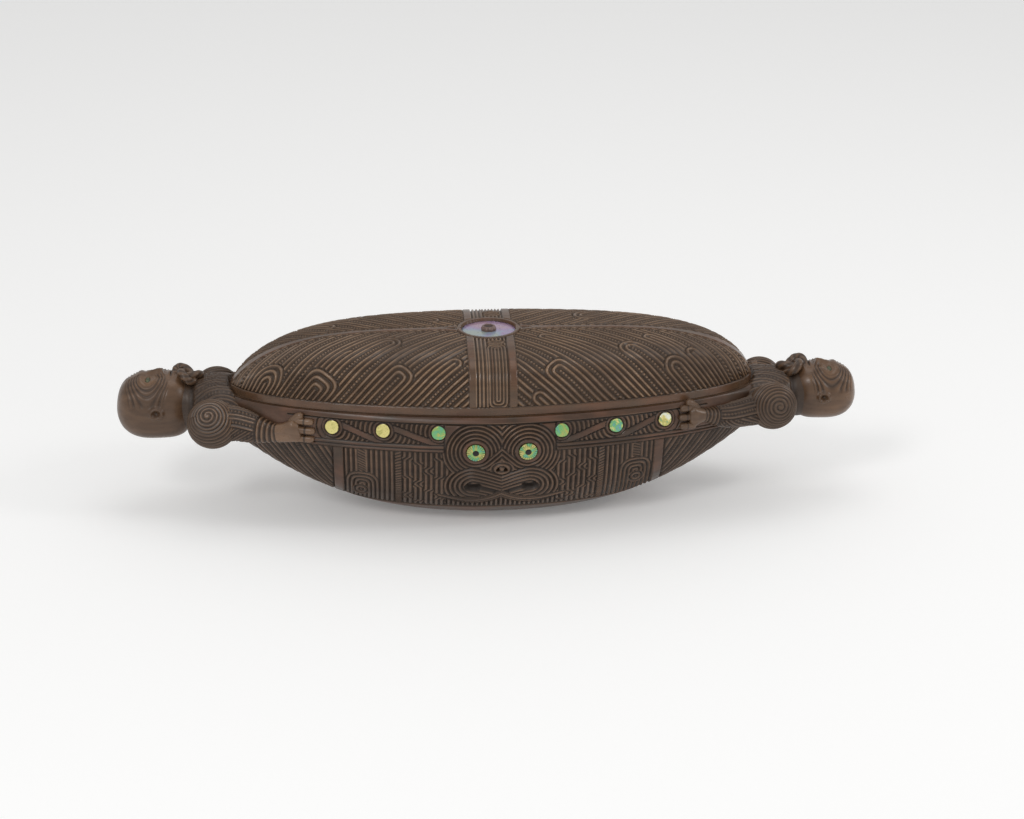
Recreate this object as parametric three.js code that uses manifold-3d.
// A lidded feast bowl carved from one log, boat shaped, with a reclining figure at each end whose arms run
// along the rim. Separate pieces: the bowl, the lid that lifts off it, and the shell inlays with their pegs.
// Millimetres, +Z up, +X along the bowl, -Y to the front. The origin is on the table under the middle of the
// whole length. Everything is drawn about the lid's middle, and moved by MIDDLE_SHIFT as it is named.
import * as THREE from "three";
import { mergeVertices } from "three/addons/utils/BufferGeometryUtils.js";
import Module from "manifold-3d";

const wasm = await Module();
wasm.setup();

// ---- Driving dimensions ----
const GAP = 0.3; // air left between two pieces that touch

// Bowl
const RIM_HEIGHT = 91; // table to the plane that the lid rests on
const HULL_HALF_LENGTH = 233; // where the keel line would meet the rim plane
const HULL_HALF_WIDTH = 80;
const FOOT_CUT = 2.3; // what is cut off the rounded keel to make the flat foot
const KEEL_DEPTH = RIM_HEIGHT + FOOT_CUT;
const KEEL_POWER = 2.79; // how square the keel line is, seen from the front
const KEEL_FALL = 0.806;
const SECTION_POWER = 2.45; // how square the cross-section is
const RIM_ROUNDNESS = 1.6; // exponent along the rim's plan curve: below 2 is more pointed than an ellipse
const RIM_FULLNESS = 2.2; // exponent across it: above RIM_ROUNDNESS the two ends are blunter
const KEEL_ROUNDNESS = 2.05;
const SHOULDER_DROP = 18; // depth over which the wall rolls out from the rim to its widest
const RIM_LEDGE = 2; // how far the rim shows outside the lid
const RIM_LAND = 11; // width of the flat that the lid rests on
const FLOOR_THICKNESS = 11;
const HOLLOW_DEPTH = RIM_HEIGHT - FLOOR_THICKNESS;
const HOLLOW_END_POWER = 2.4;
const HOLLOW_SIDE_POWER = 2.6;

// Lid
const LID_HALF_LENGTH = 190;
const LID_HALF_WIDTH = 71;
const LID_RISE = 41;
const LID_LENGTH_POWER = 4.5; // how long the crest stays level
const LID_LEFT_END_POWER = 1.38; // how full the dome is at each end: the right end is the blunter one
const LID_RIGHT_END_POWER = 2;
const LID_SECTION_POWER = 3.8;
const LID_THICKNESS = 10;
const LID_LIP_DEPTH = 5; // locating lip that drops inside the bowl's mouth
const LID_LIP_WIDTH = 4;
const LID_FIT = 1.2; // clearance round the lip, and between the lid's ends and the figures

// Shell inlays
const RIM_DISC_RADIUS = 5;
const RIM_DISC_THICKNESS = 1.8;
const RIM_DISC_DEPTH = 10.3; // below the rim plane
const RIM_DISC_PLACES = [43.5, 82.5, 118.4]; // from the middle of the frieze, outwards
const FRIEZE_OFFSET = 2.5; // the carver's middle line stands this far from the true one
const MASK_EYE_RADIUS = 6.5;
const MASK_EYE_HOLE = 1.7;
const MASK_EYE_THICKNESS = 2;
const MASK_OFFSET = 3.5; // and the middle of the mask this far
const MASK_EYE_SPREAD = 18.5;
const MASK_EYE_DEPTH = 25;
const EYE_PEG_LENGTH = 7;
const EYE_PEG_PROUD = 0.4;
const LID_DISC_OFFSET = -2; // the disc stands a little to the left of the lid's middle
const LID_DISC_RADIUS = 19.8;
const LID_DISC_HOLE = 5;
const LID_DISC_THICKNESS = 2.2;
const LID_DISC_SUNK = 2; // how far the disc's face stands below the crest
const BOSS_FOOT = 3.5;
const BOSS_PROUD = 3.2;

// End figures: the left one is the larger, as carved. headPast and shoulderBack are measured from the point
// where the keel line would meet the rim plane, and handClear from the outer disc's middle to the fingertips.
// The arm's half heights and drops are at the shoulder, the elbow, the cuff's two edges and the knuckles.
const FIGURES = [
  {
    name: "left",
    side: -1,
    headLength: 54,
    headWidth: 46,
    headHeight: 50,
    headPast: 11.5,
    headDrop: 12,
    shoulderBack: 32,
    shoulderDrop: 16,
    shoulderRadius: 18.3,
    handClear: 11.6,
    fingerLength: 11.2,
    palmLength: 15.9,
    cuffLength: 13.4,
    armHalfHeights: [14, 13.3, 10, 6.8, 9.3],
    armDrops: [16, 15.7, 18, 18.3, 14.2],
  },
  {
    name: "right",
    side: 1,
    headLength: 47,
    headWidth: 42,
    headHeight: 44,
    headPast: 10.5,
    headDrop: 10.5,
    shoulderBack: 31.5,
    shoulderDrop: 11,
    shoulderRadius: 17.5,
    handClear: 9.7,
    fingerLength: 8.2,
    palmLength: 10.2,
    cuffLength: 9.5,
    armHalfHeights: [12, 11, 7, 4.8, 9.3],
    armDrops: [11, 15.5, 13.4, 10.8, 10.6],
  },
];
const tipOf = (figure) => HULL_HALF_LENGTH + figure.headPast + figure.headLength / 2;
const MIDDLE_SHIFT = (tipOf(FIGURES[0]) - tipOf(FIGURES[1])) / 2;
const HEAD_SQUARENESS = 2.5; // exponent of the head's shape: above 2 is boxier than an egg
const SHOULDER_INSET = 46; // middle of each shoulder, in from the hull's widest
const SHOULDER_SPREAD = HULL_HALF_WIDTH - SHOULDER_INSET;
const SHOULDER_FLATNESS = 0.82;
const CHEST_BACK = 28; // back from the keel line's end
const CHEST_RADII = [24, 31, 20];
const CHEST_DROP = 13;
const NECK_BACK = 12;
const NECK_RADII = [14, 17, 19];
const NECK_DROP = 13;
const ARM_HALF_DEPTHS = [12, 10, 7.5, 5, 4.6];
const ARM_PROUD = 2.5; // middle of the arm outside the hull's wall
const FINGER_RADIUS = 2.6;
const FINGER_PITCH = 6.6;
const THUMB_RADIUS = 3;
const FIGURE_EYE_LENGTH = 6.4;
const FIGURE_EYE_WIDTH = 3.2;
const FIGURE_EYE_THICKNESS = 1.6;
const FIGURE_EYE_SPREAD = 0.2; // of the head's width, out from its middle
const FIGURE_EYE_PLACE = 0.06; // of the head's length, from its middle towards the crown
const TWIST_RADIUS = 3.6;
const NOSE_RADII = [6, 3.4, 3.6];
const EAR_RADII = [6, 3, 4.5];
const CHIN_RADII = [8, 10, 8];

// Mesh fineness
const PLAN_STEPS = 48;
const LEVEL_STEPS = 11;
const DOME_STEPS = 14;
const STATION_STEPS = 24;
const DISC_SIDES = 18;
const PEG_SIDES = 10;
const BALL_SIDES = 16;
const BALL_BANDS = 10;

// ---- Finishes ----
const BOWL_WOOD = new THREE.MeshStandardMaterial({ color: 0x46382f, roughness: 0.42, metalness: 0 });
const LID_WOOD = new THREE.MeshStandardMaterial({ color: 0x55463b, roughness: 0.42, metalness: 0 });
const DARK_PEG = new THREE.MeshStandardMaterial({ color: 0x120d0a, roughness: 0.4, metalness: 0 });
const SHELL = new THREE.MeshStandardMaterial({ color: 0x9fc48a, roughness: 0.25, metalness: 0.1 });
const PALE_SHELL = new THREE.MeshStandardMaterial({ color: 0xa9a6bd, roughness: 0.2, metalness: 0.1 });

// ---- Solids and booleans ----
function solidOf(geometry) {
  const bare = geometry.clone();
  bare.deleteAttribute("normal");
  bare.deleteAttribute("uv");
  const merged = mergeVertices(bare, 1e-4);
  return new wasm.Manifold(
    new wasm.Mesh({
      numProp: 3,
      vertProperties: new Float32Array(merged.attributes.position.array),
      triVerts: new Uint32Array(merged.index.array),
    }),
  );
}

function geometryOf(solid) {
  const mesh = solid.getMesh();
  const corners = new Float32Array(mesh.numVert * 3);
  for (let i = 0; i < mesh.numVert; i++) {
    const start = i * mesh.numProp;
    corners.set(mesh.vertProperties.subarray(start, start + 3), i * 3);
  }
  const geometry = new THREE.BufferGeometry();
  geometry.setAttribute("position", new THREE.BufferAttribute(corners, 3));
  geometry.setIndex(new THREE.BufferAttribute(new Uint32Array(mesh.triVerts), 1));
  geometry.computeVertexNormals();
  return geometry;
}

const joined = (solids) => solids.reduce((all, next) => all.add(next));

// A skin through rings of equal length, each a list of Vector3, closed at both ends by a fan to the ring's middle.
// Rings follow one another along the loft, and each runs anticlockwise seen from the far end.
function loft(rings) {
  const count = rings[0].length;
  const points = rings.flat();
  const faces = [];
  for (let r = 0; r + 1 < rings.length; r++) {
    for (let i = 0; i < count; i++) {
      const a = r * count + i;
      const b = r * count + ((i + 1) % count);
      faces.push(a, b, b + count, a, b + count, a + count);
    }
  }
  const capped = (ring, start, flip) => {
    const middle = new THREE.Vector3();
    ring.forEach((p) => middle.addScaledVector(p, 1 / count));
    points.push(middle);
    const m = points.length - 1;
    for (let i = 0; i < count; i++) {
      const a = start + i;
      const b = start + ((i + 1) % count);
      faces.push(...(flip ? [m, b, a] : [m, a, b]));
    }
  };
  capped(rings[0], 0, true);
  capped(rings[rings.length - 1], (rings.length - 1) * count, false);
  const geometry = new THREE.BufferGeometry().setFromPoints(points);
  geometry.setIndex(faces);
  return solidOf(geometry);
}

const ball = (radii, at, sides = BALL_SIDES, bands = BALL_BANDS) =>
  solidOf(new THREE.SphereGeometry(1, sides, bands).scale(...radii).translate(...at));

const power = (value, exponent) => Math.sign(value) * Math.abs(value) ** exponent;

// ---- Plan curves: |x/length|^roundness + |y/width|^fullness = 1 ----
function planRing(halfLength, halfWidth, roundness, fullness, z) {
  const ring = [];
  for (let i = 0; i < PLAN_STEPS; i++) {
    const turn = (2 * Math.PI * i) / PLAN_STEPS;
    const x = halfLength * power(Math.cos(turn), 2 / roundness);
    const y = halfWidth * power(Math.sin(turn), 2 / fullness);
    ring.push(new THREE.Vector3(x, y, z));
  }
  return ring;
}

const planHalfWidth = (x, halfLength, halfWidth, roundness, fullness) =>
  halfWidth * Math.max(0, 1 - Math.abs(x / halfLength) ** roundness) ** (1 / fullness);

// The curve that the rim, the mouth and the lid share.
const rimRing = (halfLength, halfWidth, z) => planRing(halfLength, halfWidth, RIM_ROUNDNESS, RIM_FULLNESS, z);

// ---- Hull ----
const rimHalfLength = LID_HALF_LENGTH + RIM_LEDGE;
const rimHalfWidth = LID_HALF_WIDTH + RIM_LEDGE;

const keelHalfLength = (depth) => HULL_HALF_LENGTH * (1 - (depth / KEEL_DEPTH) ** KEEL_FALL) ** (1 / KEEL_POWER);
const sectionHalfWidth = (depth) => HULL_HALF_WIDTH * (1 - (depth / KEEL_DEPTH) ** SECTION_POWER) ** (1 / SECTION_POWER);

// The plan curve of the outside at a depth below the rim plane. Down to SHOULDER_DROP the wall rolls outwards
// from the rim on a quarter ellipse, and below that it follows the keel line and the cross-section.
function hullPlan(depth) {
  const rolled = Math.min(1, depth / SHOULDER_DROP);
  const out = Math.sqrt(1 - (1 - rolled) ** 2);
  const widest = Math.max(depth, SHOULDER_DROP);
  const roundness = RIM_ROUNDNESS + ((KEEL_ROUNDNESS - RIM_ROUNDNESS) * depth) / KEEL_DEPTH;
  return {
    halfLength: rimHalfLength + (keelHalfLength(widest) - rimHalfLength) * out,
    halfWidth: rimHalfWidth + (sectionHalfWidth(widest) - rimHalfWidth) * out,
    roundness,
    fullness: RIM_FULLNESS + (roundness - RIM_FULLNESS) * out,
  };
}

const hullHalfWidth = (x, depth) => {
  const plan = hullPlan(depth);
  return planHalfWidth(x, plan.halfLength, plan.halfWidth, plan.roundness, plan.fullness);
};

function hullSolid() {
  const rings = [];
  for (let i = 0; i <= LEVEL_STEPS; i++) {
    const depth = RIM_HEIGHT * (1 - (1 - i / LEVEL_STEPS) ** 1.6);
    rings.push(depth);
  }
  rings.reverse();
  return loft(
    rings.map((depth) => {
      const plan = hullPlan(depth);
      return planRing(plan.halfLength, plan.halfWidth, plan.roundness, plan.fullness, RIM_HEIGHT - depth);
    }),
  );
}

const mouthHalfLength = rimHalfLength - RIM_LAND * 1.3;
const mouthHalfWidth = rimHalfWidth - RIM_LAND;

function hollowSolid() {
  const rings = [];
  for (let i = 0; i < LEVEL_STEPS; i++) {
    const share = 1 - (i / LEVEL_STEPS) ** 2;
    const halfLength = mouthHalfLength * (1 - share ** HOLLOW_END_POWER * 0.985) ** (1 / HOLLOW_END_POWER);
    const halfWidth = mouthHalfWidth * (1 - share ** HOLLOW_SIDE_POWER * 0.985) ** (1 / HOLLOW_SIDE_POWER);
    rings.push(rimRing(halfLength, halfWidth, RIM_HEIGHT - HOLLOW_DEPTH * share));
  }
  rings.push(rimRing(mouthHalfLength, mouthHalfWidth, RIM_HEIGHT));
  rings.push(rimRing(mouthHalfLength, mouthHalfWidth, RIM_HEIGHT + LID_RISE));
  return loft(rings);
}

// The space that the lid drops into between the two figures.
const lidSpace = () =>
  loft([
    rimRing(LID_HALF_LENGTH + LID_FIT, LID_HALF_WIDTH + LID_FIT, RIM_HEIGHT),
    rimRing(LID_HALF_LENGTH + LID_FIT, LID_HALF_WIDTH + LID_FIT, RIM_HEIGHT + LID_RISE),
  ]);

// ---- Placing things on the hull's wall ----
// The point of the wall at x and depth on the front (face -1) or the back (face 1), with its outward normal.
function wallPlace(x, depth, face) {
  const at = (px, d) => new THREE.Vector3(px, face * hullHalfWidth(px, d), RIM_HEIGHT - d);
  const step = 0.5;
  const along = at(x + step, depth).sub(at(x - step, depth));
  const down = at(x, depth + step).sub(at(x, depth - step));
  const normal = new THREE.Vector3().crossVectors(along, down).normalize();
  if (normal.y * face < 0) normal.negate();
  return { point: at(x, depth), normal };
}

const turnTo = (normal) => new THREE.Quaternion().setFromUnitVectors(new THREE.Vector3(0, 0, 1), normal);

function placed(solid, place) {
  const matrix = new THREE.Matrix4().compose(place.point, turnTo(place.normal), new THREE.Vector3(1, 1, 1));
  return solid.transform(matrix.elements);
}

// A round plate whose upper face is at z = 0, with an optional hole.
function plate(radius, thickness, hole = 0, sides = DISC_SIDES) {
  const outer = new THREE.CylinderGeometry(radius, radius, thickness, sides).rotateX(Math.PI / 2);
  const solid = solidOf(outer.translate(0, 0, -thickness / 2));
  if (!hole) return solid;
  const inner = new THREE.CylinderGeometry(hole, hole, thickness * 3, sides).rotateX(Math.PI / 2);
  return solid.subtract(solidOf(inner));
}

// ---- End figures ----
// A finger is a rod with rounded ends along x.
function finger(radius, length, at) {
  const rod = new THREE.CapsuleGeometry(radius, length, 2, 8).rotateZ(Math.PI / 2).translate(...at);
  return solidOf(rod);
}

const shoulderX = (figure) => HULL_HALF_LENGTH - figure.shoulderBack;
const fingertipX = (figure) => RIM_DISC_PLACES[2] + figure.handClear + figure.side * FRIEZE_OFFSET;
const knuckleX = (figure) => fingertipX(figure) + figure.fingerLength;

// An arm lies on the wall from the shoulder to the knuckles: elliptical rings along the wall's own curve.
function arm(figure, face) {
  const shoulder = shoulderX(figure);
  const wrist = knuckleX(figure) + figure.palmLength;
  const elbow = shoulder - figure.shoulderRadius * 0.75;
  const rings = [shoulder, elbow, wrist + figure.cuffLength, wrist, knuckleX(figure)].map((x, i) => {
    const drop = figure.armDrops[i];
    const onWall = hullHalfWidth(Math.min(x, shoulder - figure.shoulderRadius), drop) + ARM_PROUD;
    const y = i < 2 ? Math.max(SHOULDER_SPREAD, onWall) : onWall;
    const ring = [];
    for (let k = 0; k < 14; k++) {
      const turn = (2 * Math.PI * k) / 14;
      const out = ARM_HALF_DEPTHS[i] * Math.cos(turn);
      const up = figure.armHalfHeights[i] * Math.sin(turn);
      ring.push(new THREE.Vector3(figure.side * x, face * (y + out), RIM_HEIGHT - drop + up));
    }
    return face * figure.side > 0 ? ring.reverse() : ring;
  });
  return loft(rings);
}

function hand(figure, face) {
  const pieces = [];
  const drop = figure.armDrops[4];
  for (const row of [-1, 0, 1]) {
    const x = (fingertipX(figure) + knuckleX(figure)) / 2 + FINGER_RADIUS;
    const z = RIM_HEIGHT - drop + row * FINGER_PITCH;
    const y = hullHalfWidth(x, drop) + FINGER_RADIUS * 0.4;
    pieces.push(finger(FINGER_RADIUS, figure.fingerLength, [figure.side * x, face * y, z]));
  }
  const thumbX = knuckleX(figure) + 2;
  const thumbY = hullHalfWidth(thumbX, drop) + 1;
  const thumbZ = RIM_HEIGHT - drop + FINGER_PITCH * 1.3;
  const thumbRadii = [THUMB_RADIUS * 1.4, THUMB_RADIUS, THUMB_RADIUS];
  pieces.push(ball(thumbRadii, [figure.side * thumbX, face * thumbY, thumbZ], 10, 8));
  return joined(pieces);
}

const headCentre = (figure) => [
  figure.side * (HULL_HALF_LENGTH + figure.headPast),
  0,
  RIM_HEIGHT - figure.headDrop,
];

// A band twisted on itself lies on the chest under the chin.
function twist(figure) {
  const x = figure.side * (HULL_HALF_LENGTH - NECK_BACK - 3);
  const z = RIM_HEIGHT + 5;
  const loops = [-1, 1].map((way) =>
    ball([TWIST_RADIUS * 2.3, TWIST_RADIUS * 1.3, TWIST_RADIUS], [x, way * TWIST_RADIUS, z]),
  );
  return joined(loops);
}

// A ball whose every point is moved out until |x|^n + |y|^n + |z|^n = 1, then stretched to its radii.
function squaredBall(radii, at) {
  const sphere = new THREE.SphereGeometry(1, BALL_SIDES, BALL_SIDES * 0.75).rotateX(Math.PI / 2);
  const spots = sphere.getAttribute("position");
  for (let i = 0; i < spots.count; i++) {
    const spot = new THREE.Vector3().fromBufferAttribute(spots, i);
    const size = spot.toArray().reduce((sum, c) => sum + Math.abs(c) ** HEAD_SQUARENESS, 0);
    spot.multiplyScalar(size ** (-1 / HEAD_SQUARENESS));
    spots.setXYZ(i, spot.x, spot.y, spot.z);
  }
  return solidOf(sphere.scale(...radii).translate(...at));
}

// The head lies back with its crown outwards: a squared egg with a chin, a nose and two ears.
function head(figure) {
  const side = figure.side;
  const [x, , z] = headCentre(figure);
  const half = [figure.headLength / 2, figure.headWidth / 2, figure.headHeight / 2];
  return joined([
    squaredBall(half, [x, 0, z]),
    ball(CHIN_RADII, [x - side * half[0] * 0.66, 0, z + half[2] * 0.42]),
    ball(NOSE_RADII, [x - side * half[0] * 0.14, 0, z + half[2] * 0.97], 10, 8),
    ball(EAR_RADII, [x - side * half[0] * 0.1, -half[1] * 0.97, z], 10, 8),
    ball(EAR_RADII, [x - side * half[0] * 0.1, half[1] * 0.97, z], 10, 8),
  ]);
}

function figureSolid(figure) {
  const side = figure.side;
  const pieces = [
    head(figure),
    ball(NECK_RADII, [side * (HULL_HALF_LENGTH - NECK_BACK), 0, RIM_HEIGHT - NECK_DROP]),
    ball(CHEST_RADII, [side * (HULL_HALF_LENGTH - CHEST_BACK), 0, RIM_HEIGHT - CHEST_DROP]),
    twist(figure),
  ];
  for (const face of [-1, 1]) {
    const r = figure.shoulderRadius;
    const at = [side * shoulderX(figure), face * SHOULDER_SPREAD, RIM_HEIGHT - figure.shoulderDrop];
    pieces.push(ball([r, r * SHOULDER_FLATNESS, r], at));
    pieces.push(arm(figure, face));
    pieces.push(hand(figure, face));
  }
  return joined(pieces);
}

// Where a figure's eye lies on its upturned face.
function figureEyePlace(figure, way) {
  const centre = new THREE.Vector3(...headCentre(figure));
  const radii = new THREE.Vector3(figure.headLength, figure.headWidth, figure.headHeight).multiplyScalar(0.5);
  const u = FIGURE_EYE_PLACE * 2;
  const v = FIGURE_EYE_SPREAD * 2;
  const n = HEAD_SQUARENESS;
  const w = (1 - u ** n - v ** n) ** (1 / n);
  const offset = new THREE.Vector3(figure.side * u * radii.x, way * v * radii.y, w * radii.z);
  const slopes = [(figure.side * u ** (n - 1)) / radii.x, (way * v ** (n - 1)) / radii.y, w ** (n - 1) / radii.z];
  const normal = new THREE.Vector3(...slopes);
  return { point: centre.add(offset), normal: normal.normalize() };
}

// An oval plate: the eye is long across the face.
function ovalPlate(length, width, thickness) {
  const oval = new THREE.CylinderGeometry(0.5, 0.5, thickness, DISC_SIDES).rotateX(Math.PI / 2);
  return solidOf(oval.scale(width, length, 1).translate(0, 0, -thickness / 2));
}

// ---- Lid ----
// A dome over the plan curve: the ring at station x runs over the top, and its two ends close along a flat base.
function dome(halfLength, halfWidth, rise, z) {
  const rings = [];
  for (let i = 0; i <= STATION_STEPS; i++) {
    const x = halfLength * Math.sin((Math.PI / 2) * (-0.985 + (1.97 * i) / STATION_STEPS));
    const wide = planHalfWidth(x, halfLength, halfWidth, RIM_ROUNDNESS, RIM_FULLNESS);
    const endPower = x < 0 ? LID_LEFT_END_POWER : LID_RIGHT_END_POWER;
    const high = rise * (1 - Math.abs(x / halfLength) ** LID_LENGTH_POWER) ** (1 / endPower);
    const ring = [];
    for (let k = 0; k <= DOME_STEPS; k++) {
      const turn = (Math.PI * k) / DOME_STEPS;
      const y = wide * power(Math.cos(turn), 2 / LID_SECTION_POWER);
      ring.push(new THREE.Vector3(x, y, z + high * Math.abs(Math.sin(turn)) ** (2 / LID_SECTION_POWER)));
    }
    rings.push(ring);
  }
  return loft(rings);
}

const lidBase = RIM_HEIGHT + GAP;
const lipHalfLength = mouthHalfLength - LID_FIT;
const lipHalfWidth = mouthHalfWidth - LID_FIT;
const lidTop = lidBase + LID_RISE;

function lidSolid() {
  const outside = dome(LID_HALF_LENGTH, LID_HALF_WIDTH, LID_RISE, lidBase);
  const lip = loft([
    rimRing(lipHalfLength, lipHalfWidth, lidBase - LID_LIP_DEPTH),
    rimRing(lipHalfLength, lipHalfWidth, lidBase + GAP),
  ]);
  const hollowLength = lipHalfLength - LID_LIP_WIDTH;
  const hollowWidth = lipHalfWidth - LID_LIP_WIDTH;
  const hollow = dome(hollowLength, hollowWidth, LID_RISE - LID_THICKNESS, lidBase);
  const mouth = loft([
    rimRing(hollowLength - 1, hollowWidth - 1, lidBase - 2 * LID_LIP_DEPTH),
    rimRing(hollowLength - 1, hollowWidth - 1, lidBase + 1),
  ]);
  return outside.add(lip).subtract(hollow.add(mouth)).subtract(lidDiscSeat());
}

// The shell disc lies in a round seat on the crest, and the boss's foot goes down through its middle.
const discFace = lidTop - LID_DISC_SUNK;

function lidDiscSeat() {
  const deep = LID_DISC_THICKNESS + GAP;
  const above = LID_DISC_SUNK * 3;
  const room = plate(LID_DISC_RADIUS + GAP, deep + above).translate(LID_DISC_OFFSET, 0, discFace + above);
  const socket = plate(LID_DISC_HOLE, BOSS_FOOT, 0, PEG_SIDES).translate(LID_DISC_OFFSET, 0, discFace - deep + GAP);
  return room.add(socket);
}

// ---- Named meshes ----
const object = new THREE.Group();
const recesses = [];

function addNode(name, solid, material) {
  const mesh = new THREE.Mesh(geometryOf(solid.translate(MIDDLE_SHIFT, 0, 0)), material);
  mesh.name = name;
  object.add(mesh);
}

// A shell plate pressed into the wall, with its recess cut GAP wider and deeper.
function addInlay(name, place, solid, recess, proud, material) {
  const raised = { point: place.point.clone().addScaledVector(place.normal, proud), normal: place.normal };
  addNode(name, placed(solid, raised), material);
  recesses.push(placed(recess, raised));
}

const faceNames = { "-1": "front", 1: "back" };
for (const face of [-1, 1]) {
  // The frieze's middle is off to the carver's right hand side on each face.
  const middle = -face * FRIEZE_OFFSET;
  for (const side of [-1, 1]) {
    RIM_DISC_PLACES.forEach((far, i) => {
      const place = wallPlace(middle + side * far, RIM_DISC_DEPTH, face);
      const disc = plate(RIM_DISC_RADIUS, RIM_DISC_THICKNESS);
      const recess = plate(RIM_DISC_RADIUS + GAP, RIM_DISC_THICKNESS + 3 + GAP).translate(0, 0, 3);
      const sideName = side < 0 ? "left" : "right";
      addInlay(`rim_disc_${faceNames[face]}_${sideName}_${i + 1}`, place, disc, recess, 0.5, SHELL);
    });
    const sideName = side < 0 ? "left" : "right";
    const maskMiddle = -face * MASK_OFFSET;
    const place = wallPlace(maskMiddle + side * MASK_EYE_SPREAD, MASK_EYE_DEPTH, face);
    const eye = plate(MASK_EYE_RADIUS, MASK_EYE_THICKNESS, MASK_EYE_HOLE);
    const recess = plate(MASK_EYE_RADIUS + GAP, MASK_EYE_THICKNESS + 4 + GAP).translate(0, 0, 4);
    addInlay(`mask_eye_${faceNames[face]}_${sideName}`, place, eye, recess, 0.8, SHELL);
    const pegLift = 0.8 + EYE_PEG_PROUD;
    const pegRadius = MASK_EYE_HOLE - GAP;
    const peg = plate(pegRadius, EYE_PEG_LENGTH, 0, PEG_SIDES);
    const pegHole = plate(pegRadius + GAP, EYE_PEG_LENGTH + GAP, 0, PEG_SIDES);
    addInlay(`mask_pupil_${faceNames[face]}_${sideName}`, place, peg, pegHole, pegLift, DARK_PEG);
  }
}


for (const figure of FIGURES) {
  for (const way of [-1, 1]) {
    const place = figureEyePlace(figure, way);
    const eye = ovalPlate(FIGURE_EYE_LENGTH, FIGURE_EYE_WIDTH, FIGURE_EYE_THICKNESS);
    const recess = ovalPlate(FIGURE_EYE_LENGTH + 2 * GAP, FIGURE_EYE_WIDTH + 2 * GAP, FIGURE_EYE_THICKNESS + 3 + GAP);
    const sideName = way < 0 ? "front" : "back";
    addInlay(`figure_eye_${figure.name}_${sideName}`, place, eye, recess.translate(0, 0, 3), 0.4, SHELL);
  }
}

const carved = joined([hullSolid(), ...FIGURES.map(figureSolid)]);
const bowl = carved.subtract(hollowSolid()).subtract(lidSpace()).subtract(joined(recesses));
addNode("bowl", bowl, BOWL_WOOD);
addNode("lid", lidSolid(), LID_WOOD);

const lidDisc = plate(LID_DISC_RADIUS, LID_DISC_THICKNESS, LID_DISC_HOLE).translate(LID_DISC_OFFSET, 0, discFace);
addNode("lid_disc", lidDisc, PALE_SHELL);
const bossLength = BOSS_PROUD + LID_DISC_THICKNESS + BOSS_FOOT - GAP;
const boss = plate(LID_DISC_HOLE - GAP, bossLength, 0, PEG_SIDES).translate(LID_DISC_OFFSET, 0, discFace + BOSS_PROUD);
addNode("lid_boss", boss, LID_WOOD);

export default object;
